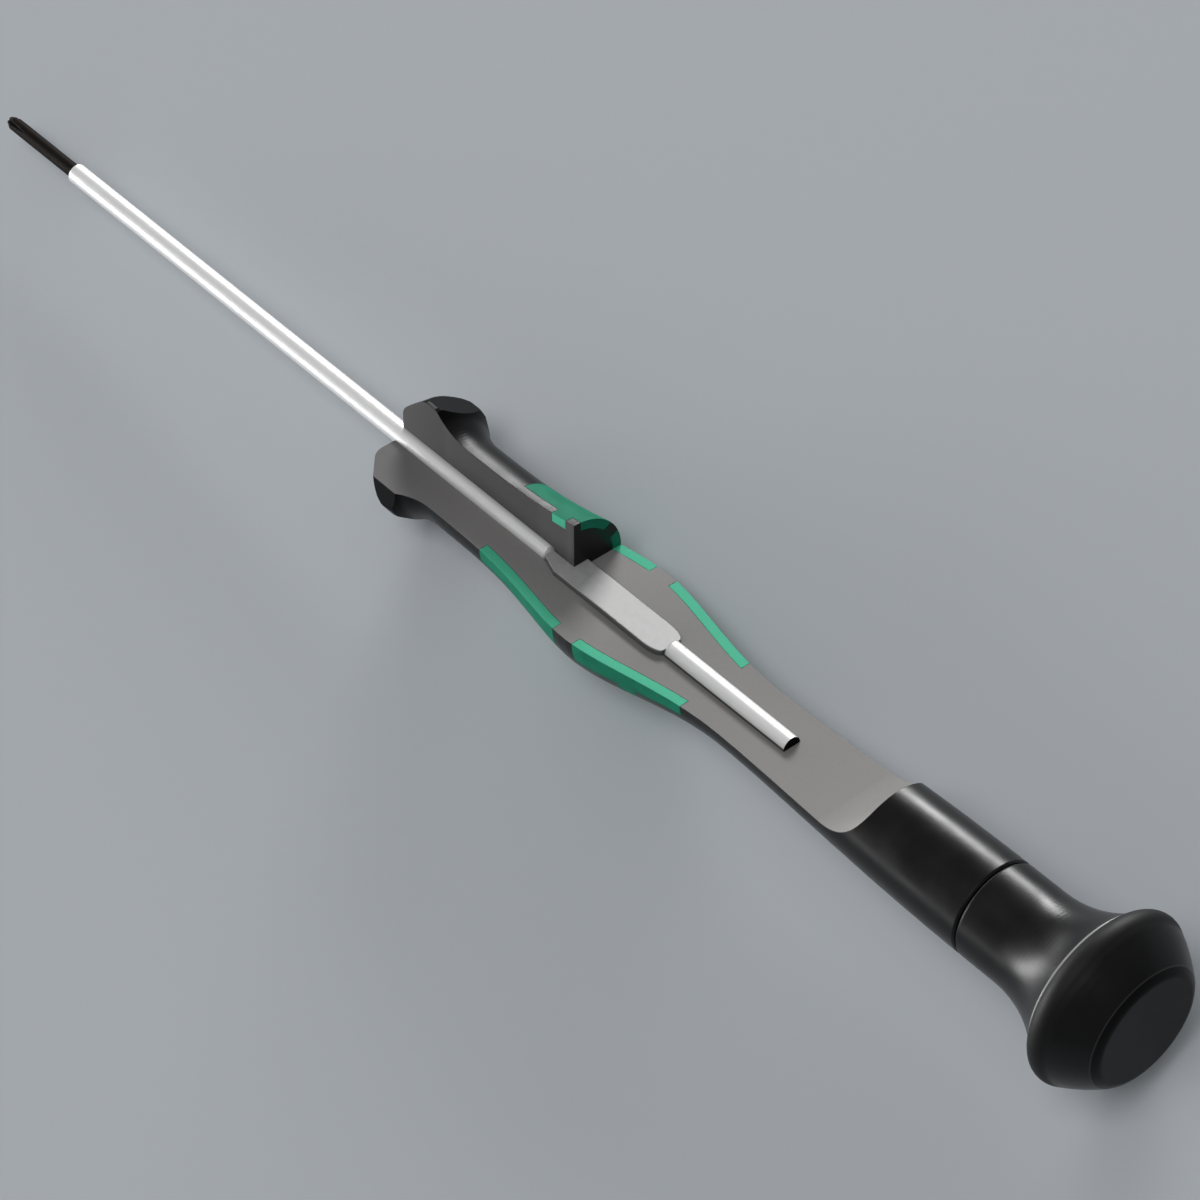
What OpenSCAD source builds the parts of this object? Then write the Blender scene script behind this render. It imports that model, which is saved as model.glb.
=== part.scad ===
// Precision screwdriver with a turning cap, as a display example that is cut open.
// X runs along the axis from the tip to the cap, Z is up, millimetres.
// The origin is on the axis at the handle's front face.
// The tool lies on a flat of its finger rest, so its half cut leans over by half a flat.

/* [Blade] */
// Length of blade in front of the handle
blade_out = 64.8; // [50:0.2:100]
// Diameter of the round shank
shank_d = 2.1; // [2:0.05:2.4]
// Length of the thinner, blackened cross tip
tip_l = 11.4; // [8:0.1:13]
// Diameter of the cross tip
tip_d = 1.5; // [1.4:0.05:1.8]
// Length of the cone at the very point
point_l = 0.7; // [0.6:0.1:1.2]
// Diameter of the blunt end of the point
point_d = 0.9; // [0.8:0.05:1.1]
// Length of the four flutes in the tip
flute_l = 3.4; // [2.4:0.1:4.4]
// Length of round shank inside the handle
shank_in = 21.7; // [18:0.1:23]
// How much thinner the shank gets along its seat, and again along its tail
seat_step = 0.08; // [0.05:0.01:0.12]
// How far the bore for the shank runs on over the wing
seat_relief = 0.5; // [0.3:0.1:0.8]
// Length of the forged wing, from shank to tail
wing_l = 16.7; // [14:0.1:20]
// Width of the wing
wing_w = 3.35; // [2.8:0.05:4]
// Thickness of the wing
wing_t = 1.2; // [1:0.05:1.5]
// Length over which the wing widens behind the shank
wing_front = 2.4; // [1.8:0.1:3.4]
// Length of the rounded corners at the rear of the wing
wing_back = 2; // [1.2:0.1:2.4]
// Length of the steep step from the shank down to the wing
front_step = 0.3; // [0.2:0.05:0.6]
// Length of the step from the wing up to the tail
back_step = 0.25; // [0.15:0.05:0.6]
// Length of the round tail behind the wing
tail_l = 16.2; // [10:0.2:20]

/* [Handle] */
// Length of the handle from its front face to the cap
body_l = 80; // [76:0.5:100]
// Diameter at which the front cone meets the front face
nose_d = 6.9; // [5.6:0.1:8]
// Slope of the front cone, in degrees from the axis
nose_angle = 42; // [38:1:50]
// Radius of the rounding round the front face
nose_round = 2; // [1:0.1:2.6]
// Diameter of the finger rest over its corners
flare_d = 12.9; // [12.2:0.1:14]
// Width of the finger rest across its flats
flare_flats = 11.6; // [11:0.1:12]
// Radius of the hollow behind the finger rest
flare_arc = 6; // [4.5:0.1:7]
// Distance from the front face to the neck
neck_x = 9.5; // [8.8:0.1:10.5]
// Diameter of the neck
neck_d = 9.2; // [8.6:0.1:9.8]
// Distance from the front face to the middle of the belly
belly_x = 31; // [30.4:0.1:31.4]
// Diameter of the belly
belly_d = 12.8; // [11.8:0.1:13.4]
// Distance from the front face to the waist
waist_x = 49; // [46:0.2:54]
// Diameter of the waist
waist_d = 7.8; // [7:0.1:8.6]
// Diameter of the handle at the cap
rear_d = 9.7; // [9:0.1:10.4]

/* [Soft grip] */
// Number of pads round the handle in each row
pads = 6; // [4:1:8]
// Depth of the soft pads
pad_depth = 1; // [0.7:0.05:1.2]
// Width of the hard rib between two pads
rib_w = 1.7; // [1.2:0.1:2.2]
// Start of the front row
front_pad_x = 17; // [14:0.1:19]
// Length of the front row
front_pad_l = 12.4; // [9:0.1:13]
// Start of the rear row
rear_pad_x = 32.1; // [31.6:0.1:34]
// Length of the rear row
rear_pad_l = 12.3; // [9:0.1:13]
// Start of the bridge ring, measured from the start of its row
bridge_x = 4.9; // [4:0.1:6]
// Width of the bridge ring
bridge_w = 1.9; // [1.2:0.1:2.4]

/* [Cutaway] */
// Distance from the front face at which the quarter cut becomes a half cut
step_x = 25; // [24.6:0.1:27]
// Distance from the front face at which the level cut face ends
cut_end = 62.7; // [60:0.1:64]
// Radius of the hollow arc in which the half cut runs out
cut_arc = 5; // [3:0.1:6]

/* [Cap] */
// Length of the cap sleeve up to its thin edge
sleeve_l = 11.8; // [11:0.1:14]
// Diameter of the thin edge of the sleeve
edge_d = 14.9; // [14:0.1:15.6]
// Radius of the hollow flare of the sleeve
cap_arc = 11.5; // [9:0.1:14]
// Diameter of the rim of the cap head
rim_d = 17.4; // [16.6:0.1:18.4]
// Radius of the rounded rim
rim_r = 1.5; // [1.2:0.05:1.8]
// Length of the cap head
head_l = 6.2; // [5.4:0.1:7.4]
// How far the side of the cap head swells out between the rim and the end
side_swell = 0.13; // [0.05:0.01:0.25]
// Diameter of the edge round the end of the cap head
crease_d = 12.4; // [11.4:0.1:13]
// How far the end swells out over that edge
end_swell = 0.5; // [0.3:0.05:0.8]
// Diameter of the flat end of the cap head
end_d = 10.6; // [9:0.1:11]

/* [Bearing] */
// Diameter of the spindle
spindle_d = 3; // [2.4:0.1:3.4]
// Length of spindle pressed into the handle
spindle_in = 10; // [6:0.5:12]
// Diameter of the spindle's head
spindle_head_d = 5; // [4.4:0.1:5.4]
// Thickness of the spindle's head
spindle_head_l = 1; // [0.7:0.1:1.4]
// Wall of the bearing bush
bush_wall = 1.05; // [0.8:0.05:1.3]
// Length of the bearing bush
bush_l = 8.6; // [7:0.1:9]
// Diameter of the thrust washer
washer_d = 6; // [5.4:0.1:6.6]
// Thickness of the thrust washer
washer_t = 0.5; // [0.3:0.05:0.8]
// Depth of the spigot that centres the cap head in the sleeve
spigot_l = 0.6; // [0.4:0.05:0.7]

/* [Fits] */
// Radial clearance in the bearing
run_fit = 0.05; // [0.03:0.01:0.09]
// Gap at the joint line between handle and cap
joint_gap = 0.15; // [0.1:0.01:0.25]
// End play of the cap on its spindle
end_play = 0.08; // [0.05:0.01:0.15]
// Gap round the blade and round the pads
seat_fit = 0.03; // [0.02:0.01:0.06]
// Gap of pressed pieces
press_gap = 0.01; // [0.005:0.005:0.02]

/* [Hidden] */
$fn = 96;
STEP = 1.2; // greatest length of one straight piece of a curved outline
FAR = 20; // more than any radius
LEAN = 30; // half a flat of the finger rest, in degrees
shank_r = shank_d / 2;
seat_r = shank_r - seat_step / 2;
tail_r = seat_r - seat_step / 2;
tip_r = tip_d / 2;
point_r = point_d / 2;
wing_x = shank_in;
tail_x = wing_x + wing_l;
tail_end = tail_x + tail_l;
neck_r = neck_d / 2;
crest_r = flare_d / 2;
nose_r = nose_d / 2;
nose_turn = 90 - nose_angle;
nose_flat = nose_r - nose_round * tan(nose_turn / 2);
// The nose cone ends at the crest, and the hollow behind the crest ends at the neck.
crest_front = (crest_r - nose_r) / tan(nose_angle);
crest_rise = crest_r - neck_r;
crest_back = neck_x - sqrt(flare_arc * flare_arc - pow(flare_arc - crest_rise, 2));
spindle_r = spindle_d / 2;
bush_r = spindle_r + run_fit + bush_wall;
cap_x = body_l + joint_gap;
washer_x = body_l;
bush_x = washer_x + washer_t + end_play;
head_x = bush_x + bush_l + end_play;
sleeve_end = body_l + sleeve_l;
head_end = sleeve_end + head_l;
cavity_r = max(spindle_head_d / 2, washer_d / 2) + 0.2;

// A smooth step from 0 to 1. A bias over 1 makes it start late, under 1 early.
function smooth(t, bias) = (1 - cos(180 * pow(t, bias))) / 2;
function blend(x, x0, r0, x1, r1, bias) = r0 + (r1 - r0) * smooth((x - x0) / (x1 - x0), bias);
// Radius of the handle behind the neck
function grip_r(x) = x <= neck_x ? neck_r
    : x <= belly_x ? blend(x, neck_x, neck_r, belly_x, belly_d / 2, 1.7)
    : x <= waist_x ? blend(x, belly_x, belly_d / 2, waist_x, waist_d / 2, 0.85)
    : blend(x, waist_x, waist_d / 2, body_l, rear_d / 2, 0.8);
function pieces(x0, x1) = ceil((x1 - x0) / STEP);
// Points [radius, x] along the handle from x0 to x1, moved outwards by d
function outline(x0, x1, d = 0) = [for (i = [0:pieces(x0, x1)])
    let (x = x0 + (x1 - x0) * i / pieces(x0, x1)) [grip_r(x) + d, x]];
// Points [radius, x] along a hollow arc that ends level at [r1, x1]
function hollow(x0, x1, r1, arc, n) = [for (i = [0:n])
    let (x = x0 + (x1 - x0) * i / n) [r1 + arc - sqrt(arc * arc - pow(x1 - x, 2)), x]];
// Reverse of a list of points
function back(list) = [for (i = [len(list) - 1:-1:0]) list[i]];

// Turns a shape about Z into the same shape about X.
module along_x() {
    rotate([0, 90, 0]) children();
}

// A plain cylinder along X from x0 to x1
module rod(x0, x1, r) {
    translate([x0, 0, 0]) along_x() cylinder(h = x1 - x0, r = r);
}

// A cone along X from radius r0 at x0 to r1 at x1
module taper(x0, x1, r0, r1) {
    translate([x0, 0, 0]) along_x() cylinder(h = x1 - x0, r1 = r0, r2 = r1);
}

// Turns a piece about X until a flat of the finger rest is below.
module lie() {
    rotate([-LEAN, 0, 0]) children();
}

// What the cutaway takes off the handle and the pads: a quarter, then a half that
// runs out in a hollow arc
module cut_away() {
    translate([-FAR, -FAR, 0]) cube([step_x + FAR, FAR, FAR]);
    translate([step_x, -FAR, 0]) cube([cut_end - step_x, 2 * FAR, FAR]);
    translate([cut_end, FAR, cut_arc]) rotate([90, 0, 0]) cylinder(h = 2 * FAR, r = cut_arc);
    translate([cut_end - 1, -FAR, cut_arc]) cube([cut_arc + 1, 2 * FAR, FAR]);
}

// One side of the wing seen from above, grown by d: straight shoulder, then a rounded corner
function wing_side(d) = concat(
    [[wing_x - 0.2, neck_half()], [wing_x + wing_front, wing_w / 2 + d]],
    [for (a = [0:15:90]) [tail_x + back_step / 2 + d - wing_back * (1 - sin(a)),
        tail_r + (wing_w / 2 + d - tail_r) * cos(a)]]);
module wing_plan(d) {
    polygon(concat(wing_side(d), [for (p = back(wing_side(d))) [p[0], -p[1]]]));
}
// Half the width of the flat where it starts inside the round shank
function neck_half() = sqrt(seat_r * seat_r - wing_t * wing_t / 4) - 0.02;

// Shank, wing and tail, grown by d for the seat in the handle
module blade_core(x0, d) {
    rod(x0, 0, shank_r + d);
    taper(0, wing_x, shank_r + d, seat_r + d);
    taper(wing_x, wing_x + front_step, seat_r + d, wing_t / 2 * 0.98);
    translate([0, 0, -wing_t / 2 - d]) linear_extrude(wing_t + 2 * d) wing_plan(d);
    taper(tail_x - 0.1, tail_x + back_step, wing_t / 2 * 0.98, seat_r + d);
    taper(tail_x + back_step, tail_end + d, seat_r + d, tail_r + d);
}

// Four grooves that leave the wings of a cross tip
module flutes() {
    lift = atan((tip_r - point_r * 0.6) / flute_l);
    for (i = [0:3])
        rotate([45 + 90 * i, 0, 0])
        translate([-blade_out, 0, point_r * 0.6])
        rotate([0, -lift, 0])
        rotate([45, 0, 0])
        translate([-1, 0, 0])
        cube([flute_l * 2, 2, 2]);
}

module blade() {
    color([0.82, 0.82, 0.82])
    lie()
    union() {
        difference() {
            union() {
                taper(-blade_out, -blade_out + point_l, point_r, tip_r);
                rod(-blade_out + point_l, -blade_out + tip_l, tip_r);
            }
            flutes();
        }
        taper(-blade_out + tip_l, -blade_out + tip_l + 0.25, tip_r, shank_r);
        blade_core(-blade_out + tip_l + 0.25, 0);
    }
}

// The handle as one turned form, before flats, pockets and cutaway
module body_form() {
    along_x() rotate_extrude() polygon(concat(
        [[0, 0]],
        [for (i = [0:8]) let (a = nose_turn * i / 8)
            [nose_flat + nose_round * sin(a), nose_round * (1 - cos(a))]],
        [[crest_r - 0.25, crest_front - 0.25 / tan(nose_angle)],
            [crest_r, crest_front + 0.3], [crest_r, crest_back - 0.3]],
        hollow(crest_back + 0.1, neck_x, neck_r, flare_arc, 12),
        outline(neck_x + 0.6, body_l - 0.2),
        [[rear_d / 2 - 0.15, body_l], [0, body_l]]
    ));
}

// Flats of the finger rest, on six sides
module flats() {
    for (i = [0:5])
        rotate([60 * i, 0, 0])
        translate([-1, flare_flats / 2, -FAR])
        cube([neck_x + 1, FAR, 2 * FAR]);
}

// A ring of soft material from x0, l long, with the ribs and the bridge ring, grown by d.
// over is how far it stands above the handle.
module grip_form(x0, l, d, over) {
    x1 = x0 + l;
    bridge = x0 + bridge_x;
    difference() {
        along_x() rotate_extrude() polygon(concat(
            outline(x0 - d, x1 + d, -pad_depth - d),
            back(outline(x0 - d, x1 + d, over))
        ));
        for (i = [0:pads - 1])
            rotate([360 / pads * (i + 0.5), 0, 0]) {
                translate([x0 - 1, 0, -rib_w / 2 + d]) cube([bridge - d - x0 + 1, FAR, rib_w - 2 * d]);
                translate([bridge + bridge_w + d, 0, -rib_w / 2 + d]) cube([l, FAR, rib_w - 2 * d]);
            }
    }
}

module handle_body() {
    color([0.13, 0.13, 0.13])
    lie()
    difference() {
        body_form();
        flats();
        blade_core(-1, seat_fit);
        rod(wing_x - 1, wing_x + seat_relief, seat_r + seat_fit);
        grip_form(front_pad_x, front_pad_l, seat_fit, 1);
        grip_form(rear_pad_x, rear_pad_l, seat_fit, 1);
        rod(body_l - spindle_in - seat_fit, body_l + 1, spindle_r + press_gap);
        cut_away();
    }
}

module front_grip() {
    color([0.16, 0.62, 0.47])
    lie()
    difference() {
        grip_form(front_pad_x, front_pad_l, 0, 0);
        cut_away();
    }
}

module rear_grip() {
    color([0.16, 0.62, 0.47])
    lie()
    difference() {
        grip_form(rear_pad_x, rear_pad_l, 0, 0);
        cut_away();
    }
}

module cap_sleeve() {
    color([0.1, 0.1, 0.1])
    lie()
    difference() {
        along_x() rotate_extrude() polygon(concat(
            [[0, cap_x], [rear_d / 2 - 0.15, cap_x], [rear_d / 2, cap_x + 0.2]],
            back(hollow_flare()),
            [[edge_d / 2, sleeve_end], [0, sleeve_end]]
        ));
        rod(cap_x - 1, bush_x + 0.3, cavity_r);
        rod(cap_x - 1, sleeve_end, bush_r + press_gap);
        rod(bush_x + bush_l, sleeve_end + 1, cavity_r);
    }
}

// Flare of the sleeve: level at its start, steep at the thin edge
function flare_start() = sleeve_end - 0.2
    - sqrt(cap_arc * cap_arc - pow(cap_arc - (edge_d - rear_d) / 2, 2));
function hollow_flare() = [for (i = [16:-1:0])
    let (x = flare_start() + (sleeve_end - 0.2 - flare_start()) * i / 16)
    [rear_d / 2 + cap_arc - sqrt(cap_arc * cap_arc - pow(x - flare_start(), 2)), x]];

// Side of the cap head, at share t of the way from the rim's arc at angle a to the crease
function head_side(t, a, rim_c, rim_x) = let (
    r0 = rim_c + rim_r * sin(a),
    x0 = rim_x + rim_r * cos(a),
    swell = 4 * side_swell * t * (1 - t))
    [r0 + (crease_d / 2 - r0) * t + swell * sin(a),
        x0 + (head_end - end_swell - x0) * t + swell * cos(a)];

module cap_head() {
    rim_x = sleeve_end + rim_r;
    rim_c = rim_d / 2 - rim_r;
    color([0.09, 0.09, 0.09])
    lie()
    union() {
        along_x() rotate_extrude() polygon(concat(
            [[0, sleeve_end], [rim_c, sleeve_end]],
            [for (a = [170:-7:65]) [rim_c + rim_r * sin(a), rim_x + rim_r * cos(a)]],
            [for (i = [0:6]) head_side(i / 6, 58, rim_c, rim_x)],
            [for (i = [1:5])
                [crease_d / 2 + (end_d - crease_d) / 2 * i / 5,
                    head_end - end_swell + end_swell * sin(18 * i)]],
            [[0, head_end]]
        ));
        rod(sleeve_end - spigot_l, sleeve_end + 0.1, cavity_r - press_gap);
    }
}

module spindle() {
    color([0.75, 0.75, 0.77])
    lie()
    union() {
        rod(body_l - spindle_in, head_x, spindle_r);
        rod(head_x, head_x + spindle_head_l, spindle_head_d / 2);
    }
}

module cap_bush() {
    color([0.75, 0.6, 0.35])
    lie()
    difference() {
        rod(bush_x, bush_x + bush_l, bush_r);
        rod(bush_x - 1, bush_x + bush_l + 1, spindle_r + run_fit);
    }
}

module thrust_washer() {
    color([0.8, 0.8, 0.78])
    lie()
    difference() {
        rod(washer_x, washer_x + washer_t, washer_d / 2);
        rod(washer_x - 1, washer_x + washer_t + 1, spindle_r + run_fit);
    }
}

blade();
handle_body();
front_grip();
rear_grip();
cap_sleeve();
cap_head();
spindle();
cap_bush();
thrust_washer();
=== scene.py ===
"""Looks of the precision screwdriver: materials, floor, light and camera.

Lengths are in millimetres, and MM turns them into Blender's metres. Only the size of the floor, the
sizes and distances of the lamps and the camera's clip range are in metres. X runs from the tip to the
cap, and the tool lies on a flat of its finger rest. "Cut frame" means the same frame turned back about
X, so that one cut through the handle is level and the other upright.
"""
import math

import bpy
from mathutils import Matrix, Vector


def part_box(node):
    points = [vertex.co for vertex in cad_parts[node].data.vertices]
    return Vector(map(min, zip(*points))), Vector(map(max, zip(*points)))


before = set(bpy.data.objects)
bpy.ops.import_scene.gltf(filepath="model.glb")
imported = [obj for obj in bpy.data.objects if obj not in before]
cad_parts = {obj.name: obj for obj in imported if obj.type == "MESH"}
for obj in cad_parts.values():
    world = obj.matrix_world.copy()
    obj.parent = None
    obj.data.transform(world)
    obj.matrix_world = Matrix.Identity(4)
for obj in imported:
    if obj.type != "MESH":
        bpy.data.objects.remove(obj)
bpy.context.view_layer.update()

MM = 0.001
FAR = 999.0  # beyond everything, for a range that is open at one side
LEAN = math.radians(30)  # from the cut frame to the frame
TURN = Matrix.Rotation(-LEAN, 4, "X")


def box_mm(node):
    """Lowest and highest corner of a CAD node in millimetres."""
    low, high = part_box(node)
    return low / MM, high / MM


SLEEVE_LOW, SLEEVE_HIGH = box_mm("cap_sleeve")
HEAD_LOW, HEAD_HIGH = box_mm("cap_head")
BLADE_LOW, BLADE_HIGH = box_mm("blade")

# Places along X
TIP_END = BLADE_LOW.x + 11.4  # end of the blackened tip
FINGER_REST_END = 6.4
NECK_END = 20.0
WING_FRONT = 21.9
STEP_X = 25.0  # where the upright cut ends
WING_REAR = 38.7
CUT_END = 62.7  # where the level cut ends
CREASE_X = HEAD_HIGH.x - 0.5

# The cuts and the blade's sides, in the cut frame
CUT_ARC = 5.0  # radius of the hollow in which the level cut runs out
ON_FACE = 0.02  # how far from a cut face a point still belongs to it
WING_SIDE_TOP = 0.48  # height up to which shade is painted on the sides of the wing
TAIL_SIDE_TOP = 0.22  # height up to which shade is painted on the sides of the tail

# Widths of the bands with painted highlights, of the dull bands and of the dark bands
HAIR = 0.01  # how far a band reaches past the edge it lies on
# bands of painted highlight on the sleeve's lip and joint
LIP_WIDTH = 0.24
JOINT_WIDTH = 0.16
RIM_START, RIM_END = 0.7, 3.2  # the dull rim of the cap, from the head's low end
# band of painted highlight on the crease, before and behind it
CREASE_BEFORE, CREASE_BEHIND = 0.05, 0.03
DARK_END_WIDTH = 0.06  # the dark end of the tail
RAGGED = 0.12  # how far the edge of the blackening wanders

# Rest on the floor
REST_X, REST_Z = 2.6, -5.8  # front edge of the finger rest's lower flat
RIM_REST = 2.1  # place of the rim's lowest point, from the head's low end
FLOOR_GAP = 0.01
FLOOR_SIZE = 40

# Pairs of a darker and a lighter shade, between which a noise chooses
MOULDED_BLACK = ((0.002, 0.002, 0.002), (0.0034, 0.0033, 0.0032))
GREEN_SKIN = ((0.006, 0.16, 0.092), (0.009, 0.2, 0.115))
GREEN_CUT = ((0.048, 0.4, 0.245), (0.07, 0.475, 0.29))
CHROME = ((0.77, 0.768, 0.766), (0.85, 0.848, 0.845))
FORGED = ((0.355, 0.355, 0.35), (0.405, 0.405, 0.4))
BURNT = ((0.004, 0.0022, 0.0013), (0.0065, 0.004, 0.0027))

# Single shades
# painted shade for the low sides of the wing and the tail, next to the handle's cut
SIDE_SHADE_PAINT = (0.12, 0.118, 0.115)
# painted highlight on the sleeve's lip
LIP_HIGHLIGHT_PAINT = (0.32, 0.32, 0.31)
# darker than the cut grey for the milling marks, and lighter than the black skin as a painted highlight on
# the sleeve's joint and the head's crease
MARKS_AND_GLINT_GREY = (0.03, 0.03, 0.03)
FLOOR_SHADE = (0.48, 0.51, 0.54)

# Grey of the cut plastic at places along X, on the level and on the upright face. It carries painted light
# and shade: darker at the front, lighter from 14 to 28 where the upright block shades the level face, and
# a painted light band on the upright face just before the step.
LEVEL_GREY_PAINTED_LIGHT = ((0, (0.15, 0.146, 0.145)), (14, (0.22, 0.212, 0.21)), (28, (0.225, 0.218, 0.215)),
                (38, (0.183, 0.179, 0.175)), (64, (0.228, 0.222, 0.214)))
UPRIGHT_GREY_PAINTED_LIGHT = ((0, (0.11, 0.108, 0.109)), (5, (0.093, 0.091, 0.092)), (12, (0.075, 0.073, 0.073)),
                  (23.5, (0.069, 0.067, 0.067)), (24.4, (0.08, 0.078, 0.078)), (25, (0.06, 0.058, 0.058)))

# Strength of the reflection on black plastic, and roughness of its dull and cut parts
SATIN_SHINE = 0.25
NECK_SHINE = 0.13
FINGER_REST_SHINE = 0.06
CAP_END_SHINE = 0.12
RIM_ROUGH = 0.55
CUT_ROUGH = 0.62

# Light and camera, with the camera's place and angles in the cut frame
LAMP_TARGET = (40, 0, 0)  # the middle of the handle
WORLD_TINT = (0.97, 0.985, 1.0)
WORLD_STRENGTH = 0.25
CAMERA_YAW, CAMERA_PITCH = 2.432, 0.761
CAMERA_PLACE = (244.745, -185.589, 270.354)
FOCAL_PIXELS, PICTURE_PIXELS = 4295, 1200
SENSOR = 36  # width
CLIP_START, CLIP_END = 0.01, 20


# Node helpers

def new_material(name):
    """An empty node material with its output and a Principled shader."""
    material = bpy.data.materials.new(name)
    material.use_nodes = True
    tree = material.node_tree
    tree.nodes.clear()
    output = tree.nodes.new("ShaderNodeOutputMaterial")
    shader = tree.nodes.new("ShaderNodeBsdfPrincipled")
    tree.links.new(shader.outputs["BSDF"], output.inputs["Surface"])
    return material, tree, shader


def put(tree, socket, value):
    """Links a socket to a socket, or sets it to a number or colour."""
    if isinstance(value, bpy.types.NodeSocket):
        tree.links.new(value, socket)
    elif hasattr(value, "__len__") and len(value) == 3 and socket.type == "RGBA":
        socket.default_value = (*value, 1)
    else:
        socket.default_value = value


def math_node(tree, operation, a, b=0.0):
    """Result of a calculation with one or two numbers."""
    node = tree.nodes.new("ShaderNodeMath")
    node.operation = operation
    put(tree, node.inputs[0], a)
    put(tree, node.inputs[1], b)
    return node.outputs[0]


def both(tree, a, b):
    """1 where both masks are 1."""
    return math_node(tree, "MULTIPLY", a, b)


def either(tree, a, b):
    """The higher of two masks."""
    return math_node(tree, "MAXIMUM", a, b)


def ranged(tree, value, start, end, low=0.0, high=1.0, kind="LINEAR"):
    """Maps start and end to low and high, and keeps within them."""
    node = tree.nodes.new("ShaderNodeMapRange")
    node.interpolation_type = kind
    settings = {"Value": value, "From Min": start, "From Max": end, "To Min": low, "To Max": high}
    for name, setting in settings.items():
        put(tree, node.inputs[name], setting)
    return node.outputs["Result"]


def between(tree, value, low, high, soft=0.01):
    """1 where value is from low to high, 0 outside. Each edge fades over soft to both sides."""
    rise = ranged(tree, value, low - soft, low + soft, kind="SMOOTHSTEP")
    passed = ranged(tree, value, high - soft, high + soft, kind="SMOOTHSTEP")
    return both(tree, rise, math_node(tree, "SUBTRACT", 1.0, passed))


def spread(tree, value, low, high):
    """Maps a noise value, which is mostly from 0.3 to 0.7, to low and high."""
    return ranged(tree, value, 0.3, 0.7, low, high)


def mix(tree, factor, a, b):
    """Colour from a to b. The sockets are taken by place, because the node repeats their names."""
    node = tree.nodes.new("ShaderNodeMix")
    node.data_type = "RGBA"
    put(tree, node.inputs[0], factor)
    put(tree, node.inputs[6], a)
    put(tree, node.inputs[7], b)
    return node.outputs[2]


def mix_number(tree, factor, a, b):
    """Number from a to b, with sockets by place as in mix."""
    node = tree.nodes.new("ShaderNodeMix")
    put(tree, node.inputs[0], factor)
    put(tree, node.inputs[2], a)
    put(tree, node.inputs[3], b)
    return node.outputs[0]


def mottled(tree, value, shades):
    """Colour between the two shades of a pair, chosen by a noise value."""
    return mix(tree, spread(tree, value, 0, 1), *shades)


def dimmed(shade, share):
    """The shade with the given share of its brightness."""
    return tuple(share * channel for channel in shade)


def position(tree):
    """Place in the cut frame in millimetres: the vector and its three parts."""
    coordinates = tree.nodes.new("ShaderNodeTexCoord")
    scale = tree.nodes.new("ShaderNodeVectorMath")
    scale.operation = "SCALE"
    tree.links.new(coordinates.outputs["Object"], scale.inputs[0])
    scale.inputs["Scale"].default_value = 1 / MM
    turn = tree.nodes.new("ShaderNodeVectorRotate")
    turn.rotation_type = "X_AXIS"
    tree.links.new(scale.outputs[0], turn.inputs["Vector"])
    turn.inputs["Angle"].default_value = LEAN
    parts = tree.nodes.new("ShaderNodeSeparateXYZ")
    tree.links.new(turn.outputs[0], parts.inputs[0])
    return turn.outputs[0], parts.outputs


def stretched(tree, vector, factors):
    """The vector times a factor along each axis. A low factor draws a noise out along that axis."""
    node = tree.nodes.new("ShaderNodeVectorMath")
    node.operation = "MULTIPLY"
    tree.links.new(vector, node.inputs[0])
    node.inputs[1].default_value = factors
    return node.outputs[0]


def noise(tree, vector, scale, detail=2.0, rough=0.5):
    """Noise with scale features to the millimetre."""
    node = tree.nodes.new("ShaderNodeTexNoise")
    tree.links.new(vector, node.inputs["Vector"])
    node.inputs["Scale"].default_value = scale
    node.inputs["Detail"].default_value = detail
    node.inputs["Roughness"].default_value = rough
    return node.outputs["Fac"]


def bump(tree, shader, relief, depth, edge=0.1):
    """Relief of the given depth in millimetres, on edges that are rounded by edge millimetres."""
    rounded = tree.nodes.new("ShaderNodeBevel")
    rounded.samples = 4
    rounded.inputs["Radius"].default_value = edge * MM
    node = tree.nodes.new("ShaderNodeBump")
    put(tree, node.inputs["Height"], relief)
    node.inputs["Distance"].default_value = depth * MM
    tree.links.new(rounded.outputs["Normal"], node.inputs["Normal"])
    tree.links.new(node.outputs["Normal"], shader.inputs["Normal"])


def cut_faces(tree, parts):
    """Two masks: the upright cut face, and the whole cut with the hollow at its end."""
    x, y, z = parts
    level = both(tree, between(tree, z, -ON_FACE, ON_FACE), between(tree, x, -FAR, CUT_END + ON_FACE))
    upright = both(tree, between(tree, y, -ON_FACE, ON_FACE), between(tree, x, -FAR, STEP_X + ON_FACE))
    upright = both(tree, upright, between(tree, z, 0.5 * ON_FACE, FAR))
    away = math_node(tree, "SUBTRACT", x, CUT_END)
    down = math_node(tree, "SUBTRACT", z, CUT_ARC)
    squares = math_node(tree, "ADD", both(tree, away, away), both(tree, down, down))
    radius = math_node(tree, "SQRT", squares)
    hollow = between(tree, radius, CUT_ARC - 1.5 * ON_FACE, CUT_ARC + ON_FACE)
    hollow = both(tree, hollow, between(tree, away, -0.5 * ON_FACE, FAR))
    return upright, either(tree, either(tree, level, upright), hollow)


def ramp_along(tree, x, stops):
    """Shade along x from pairs of a place and a shade."""
    low, high = stops[0][0], stops[-1][0]
    ramp = tree.nodes.new("ShaderNodeValToRGB")
    tree.links.new(ranged(tree, x, low, high), ramp.inputs["Fac"])
    elements = ramp.color_ramp.elements
    while len(elements) < len(stops):
        elements.new(0.5)  # moved to its own place below
    for element, (place, shade) in zip(elements, stops):
        element.position = (place - low) / (high - low)
        element.color = (*shade, 1)
    return ramp.outputs["Color"]


# Materials

def black_skin(tree, vector):
    """Colour, roughness and grain of satin black moulded plastic."""
    blotch = noise(tree, vector, 0.35)
    colour = mottled(tree, blotch, MOULDED_BLACK)
    return colour, spread(tree, blotch, 0.28, 0.35), noise(tree, vector, 9.0, detail=3.0, rough=0.6)


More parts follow.
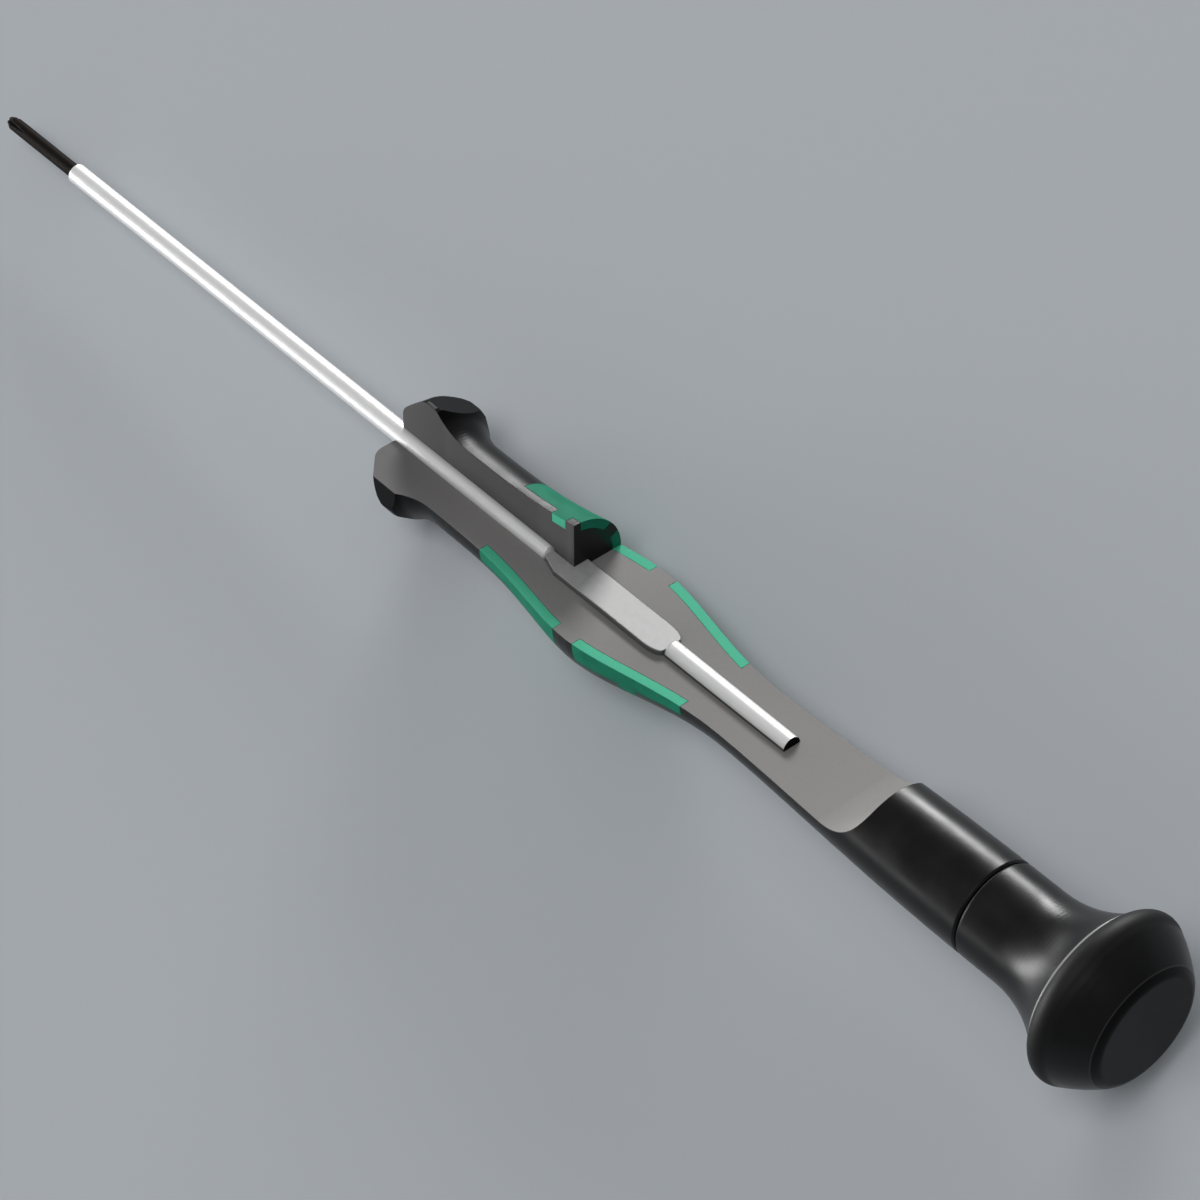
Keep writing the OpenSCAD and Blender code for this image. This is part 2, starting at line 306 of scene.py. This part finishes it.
def cap_black(name):
    """Satin black with a painted highlight on the sleeve's lip and on its joint.

    The head has a dull rim, a painted highlight on the crease and a dull end.
    """
    material, tree, shader = new_material(name)
    vector, parts = position(tree)
    colour, rough, grain = black_skin(tree, vector)
    x = parts[0]
    lip = between(tree, x, SLEEVE_HIGH.x - LIP_WIDTH, SLEEVE_HIGH.x + HAIR, soft=0.03)
    joint = between(tree, x, SLEEVE_LOW.x - HAIR, SLEEVE_LOW.x + JOINT_WIDTH, soft=0.03)
    rim = between(tree, x, HEAD_LOW.x + RIM_START, HEAD_LOW.x + RIM_END, soft=0.3)
    crease = between(tree, x, CREASE_X - CREASE_BEFORE, CREASE_X + CREASE_BEHIND, soft=0.03)
    end = between(tree, x, CREASE_X, FAR, soft=0.05)
    # painted highlight: the pale lip of the sleeve
    colour = mix(tree, lip, colour, LIP_HIGHLIGHT_PAINT)
    # painted highlight: the joint and the crease a little lighter than the black
    colour = mix(tree, either(tree, joint, crease), colour, MARKS_AND_GLINT_GREY)
    put(tree, shader.inputs["Base Color"], colour)
    put(tree, shader.inputs["Roughness"], mix_number(tree, rim, rough, RIM_ROUGH))
    put(tree, shader.inputs["Specular IOR Level"], mix_number(tree, end, SATIN_SHINE, CAP_END_SHINE))
    bump(tree, shader, grain, depth=0.004, edge=0.16)
    return material


def cut_grey(tree, x, upright, marks):
    """Grey of the cut plastic with painted light and shade along X, slightly darker in the milling marks.
    """
    level_grey_lit = ramp_along(tree, x, LEVEL_GREY_PAINTED_LIGHT)
    upright_grey_lit = ramp_along(tree, x, UPRIGHT_GREY_PAINTED_LIGHT)
    # painted light and shade: the grey follows the light along the level and the upright face
    shade = mix(tree, upright, level_grey_lit, upright_grey_lit)
    return mix(tree, spread(tree, marks, 0.0, 0.12), shade, MARKS_AND_GLINT_GREY)


def handle_black(name):
    """Satin black, duller on the neck, dull on the finger rest, grey with painted light and shade and
    finely milled where cut.
    """
    material, tree, shader = new_material(name)
    vector, parts = position(tree)
    colour, rough, grain = black_skin(tree, vector)
    x = parts[0]
    upright, cut_mask = cut_faces(tree, parts)
    marks = noise(tree, stretched(tree, vector, (0.6, 6.0, 6.0)), 3.0, detail=3.0)
    grey = cut_grey(tree, x, upright, marks)
    finger_rest = between(tree, x, -FAR, FINGER_REST_END, soft=0.5)
    neck = between(tree, x, FINGER_REST_END, NECK_END, soft=1.0)
    shine = mix_number(tree, neck, SATIN_SHINE, NECK_SHINE)
    shine = mix_number(tree, finger_rest, shine, FINGER_REST_SHINE)
    put(tree, shader.inputs["Base Color"], mix(tree, cut_mask, colour, grey))
    put(tree, shader.inputs["Roughness"], mix_number(tree, cut_mask, rough, CUT_ROUGH))
    put(tree, shader.inputs["Specular IOR Level"], shine)
    bump(tree, shader, mix_number(tree, cut_mask, grain, marks), depth=0.004)
    return material


def soft_grip(name):
    """Matte green soft plastic, lighter where it is cut."""
    material, tree, shader = new_material(name)
    vector, parts = position(tree)
    cut_mask = cut_faces(tree, parts)[1]
    grain = noise(tree, vector, 7.0, detail=3.0, rough=0.6)
    skin = mottled(tree, noise(tree, vector, 0.6), GREEN_SKIN)
    fresh = mottled(tree, grain, GREEN_CUT)
    put(tree, shader.inputs["Base Color"], mix(tree, cut_mask, skin, fresh))
    put(tree, shader.inputs["Roughness"], mix_number(tree, cut_mask, 0.6, 0.7))
    put(tree, shader.inputs["Specular IOR Level"], mix_number(tree, cut_mask, 0.1, 0.2))
    bump(tree, shader, grain, depth=0.006)
    return material


def painted_side_shade(tree, x, height, wing):
    """1 where shade is painted on the low sides of the wing and of the tail."""
    sides = both(tree, between(tree, x, WING_FRONT, FAR, soft=0.2),
                 between(tree, height, -FAR, WING_SIDE_TOP, soft=0.05))
    tail = both(tree, sides, between(tree, height, -FAR, TAIL_SIDE_TOP, soft=0.05))
    return mix_number(tree, wing, tail, sides)


def blackened(tree, vector, x):
    """1 on the blackened tip, which ends in a ragged edge, and on the dark end of the tail."""
    wander = spread(tree, noise(tree, vector, 2.5), -RAGGED, RAGGED)
    tip = between(tree, math_node(tree, "ADD", x, wander), -FAR, TIP_END + RAGGED, soft=0.1)
    # the end of the tail is darkened with the tip's colours
    dark_end = between(tree, x, BLADE_HIGH.x - DARK_END_WIDTH, FAR, soft=0.03)
    return either(tree, tip, dark_end)


def blade_steel(name):
    """Satin chrome with drawn lines, duller on the forged wing, painted shade on the low sides, black tip
    and end.
    """
    material, tree, shader = new_material(name)
    vector, parts = position(tree)
    x, height = parts[0], parts[2]
    black = blackened(tree, vector, x)
    wing = between(tree, x, WING_FRONT, WING_REAR, soft=0.2)
    lines = noise(tree, stretched(tree, vector, (0.25, 9.0, 9.0)), 2.0, detail=4.0, rough=0.65)
    forged = noise(tree, vector, 1.6, detail=4.0, rough=0.6)
    colour = mix(tree, wing, mottled(tree, lines, CHROME), mottled(tree, forged, FORGED))
    # painted shade on the low sides of the wing and the tail
    colour = mix(tree, painted_side_shade(tree, x, height, wing), colour, SIDE_SHADE_PAINT)
    colour = mix(tree, black, colour, mottled(tree, forged, BURNT))
    metallic = mix_number(tree, black, mix_number(tree, wing, 0.45, 0.3), 1.0)
    rough = mix_number(tree, wing, spread(tree, lines, 0.38, 0.46), spread(tree, forged, 0.56, 0.66))
    put(tree, shader.inputs["Base Color"], colour)
    put(tree, shader.inputs["Metallic"], metallic)
    put(tree, shader.inputs["Roughness"], mix_number(tree, black, rough, 0.65))
    bump(tree, shader, mix_number(tree, wing, lines, forged), depth=0.003, edge=0.12)
    return material


def turned(name, shade, rough):
    """Metallic surface with fine turning marks round X."""
    material, tree, shader = new_material(name)
    vector = position(tree)[0]
    marks = noise(tree, stretched(tree, vector, (8.0, 0.3, 0.3)), 2.0, detail=3.0)
    put(tree, shader.inputs["Base Color"], mottled(tree, marks, (dimmed(shade, 0.8), shade)))
    put(tree, shader.inputs["Metallic"], 1.0)
    put(tree, shader.inputs["Roughness"], spread(tree, marks, rough, rough + 0.1))
    bump(tree, shader, marks, depth=0.003)
    return material


def floor_paper(name):
    """Plain pale paper with a barely visible tooth."""
    material, tree, shader = new_material(name)
    vector = position(tree)[0]
    tooth = noise(tree, vector, 0.8, detail=3.0)
    put(tree, shader.inputs["Base Color"], mix(tree, tooth, dimmed(FLOOR_SHADE, 0.985), FLOOR_SHADE))
    put(tree, shader.inputs["Roughness"], 0.9)
    put(tree, shader.inputs["Specular IOR Level"], 0.2)
    return material


def dress(node, material):
    """Gives a CAD node its material."""
    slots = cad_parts[node].data.materials
    slots.clear()
    slots.append(material)


black = cap_black("cap_black")
green = soft_grip("grip_green")
dress("handle_body", handle_black("handle_black"))
dress("cap_sleeve", black)
dress("cap_head", black)
dress("front_grip", green)
dress("rear_grip", green)
dress("blade", blade_steel("blade_chrome"))
dress("spindle", turned("spindle_turned", (0.62, 0.62, 0.63), rough=0.25))
dress("cap_bush", turned("bush_turned", (0.7, 0.48, 0.22), rough=0.3))
dress("thrust_washer", turned("washer_pale", (0.75, 0.75, 0.7), rough=0.4))


# Floor, light and camera

def make_floor():
    """A large pale sheet that touches the cap's rim and the front edge of the finger rest's lower flat."""
    rim = Vector((HEAD_LOW.x + RIM_REST, 0, HEAD_LOW.z)) * MM
    rest = Vector((REST_X, 0, REST_Z)) * MM
    slope = math.atan2(rim.z - rest.z, rim.x - rest.x)
    bpy.ops.mesh.primitive_plane_add(size=FLOOR_SIZE)
    floor = bpy.context.object
    floor.name = "floor"
    floor.rotation_euler = (0, -slope, 0)
    floor.location = rim - Vector((0, 0, FLOOR_GAP * MM))
    floor.data.materials.append(floor_paper("floor_paper"))


def softbox(name, direction, distance, size, power, beam=60):
    """An area lamp that looks at the middle of the handle, with its light kept to beam degrees."""
    data = bpy.data.lights.new(name, "AREA")
    data.shape = "RECTANGLE"
    data.size, data.size_y = size
    data.energy = power
    data.spread = math.radians(beam)
    lamp = bpy.data.objects.new(name, data)
    bpy.context.scene.collection.objects.link(lamp)
    back = Vector(direction).normalized()
    lamp.location = Vector(LAMP_TARGET) * MM + back * distance
    lamp.rotation_mode = "QUATERNION"
    lamp.rotation_quaternion = (-back).to_track_quat("-Z", "Y")


def make_light():
    """Even world, softbox overhead, two low ones behind the tool, weak ones between and beside them."""
    world = bpy.data.worlds.new("studio")
    bpy.context.scene.world = world
    world.use_nodes = True
    background = world.node_tree.nodes["Background"]
    background.inputs["Color"].default_value = (*WORLD_TINT, 1)
    background.inputs["Strength"].default_value = WORLD_STRENGTH
    softbox("lamp_top", (0.1, -0.1, 1.0), distance=3.0, size=(1.5, 1.5), power=29, beam=180)
    softbox("lamp_right", (-0.54, 0.83, 0.135), distance=2.4, size=(1.05, 0.57), power=6.2)
    softbox("lamp_left", (-0.88, -0.45, 0.13), distance=2.4, size=(1.5, 0.6), power=6.4)
    softbox("lamp_behind", (-0.99, 0.07, 0.14), distance=2.4, size=(1.75, 0.54), power=1.1)
    softbox("lamp_side", (-0.53, -0.84, 0.12), distance=2.7, size=(1.2, 0.6), power=0.6)


def camera_axes():
    """Right, up and forward of the camera in the cut frame."""
    level = math.cos(CAMERA_PITCH)
    forward = Vector((level * math.cos(CAMERA_YAW), level * math.sin(CAMERA_YAW), -math.sin(CAMERA_PITCH)))
    right = Vector((math.sin(CAMERA_YAW), -math.cos(CAMERA_YAW), 0))
    return right, right.cross(forward), forward


def make_camera():
    """The photograph's point of view, fitted to the tool's axis, cut faces and ring edges."""
    data = bpy.data.cameras.new("camera")
    data.sensor_width = SENSOR
    data.lens = SENSOR * FOCAL_PIXELS / PICTURE_PIXELS
    data.clip_start, data.clip_end = CLIP_START, CLIP_END
    camera = bpy.data.objects.new("camera", data)
    bpy.context.scene.collection.objects.link(camera)
    right, up, forward = camera_axes()
    turn = Matrix((right, up, -forward)).transposed()
    place = Vector(CAMERA_PLACE) * MM
    camera.matrix_world = TURN @ Matrix.Translation(place) @ turn.to_4x4()
    bpy.context.scene.camera = camera


make_floor()
make_light()
make_camera()
bpy.context.scene.view_settings.view_transform = "Standard"
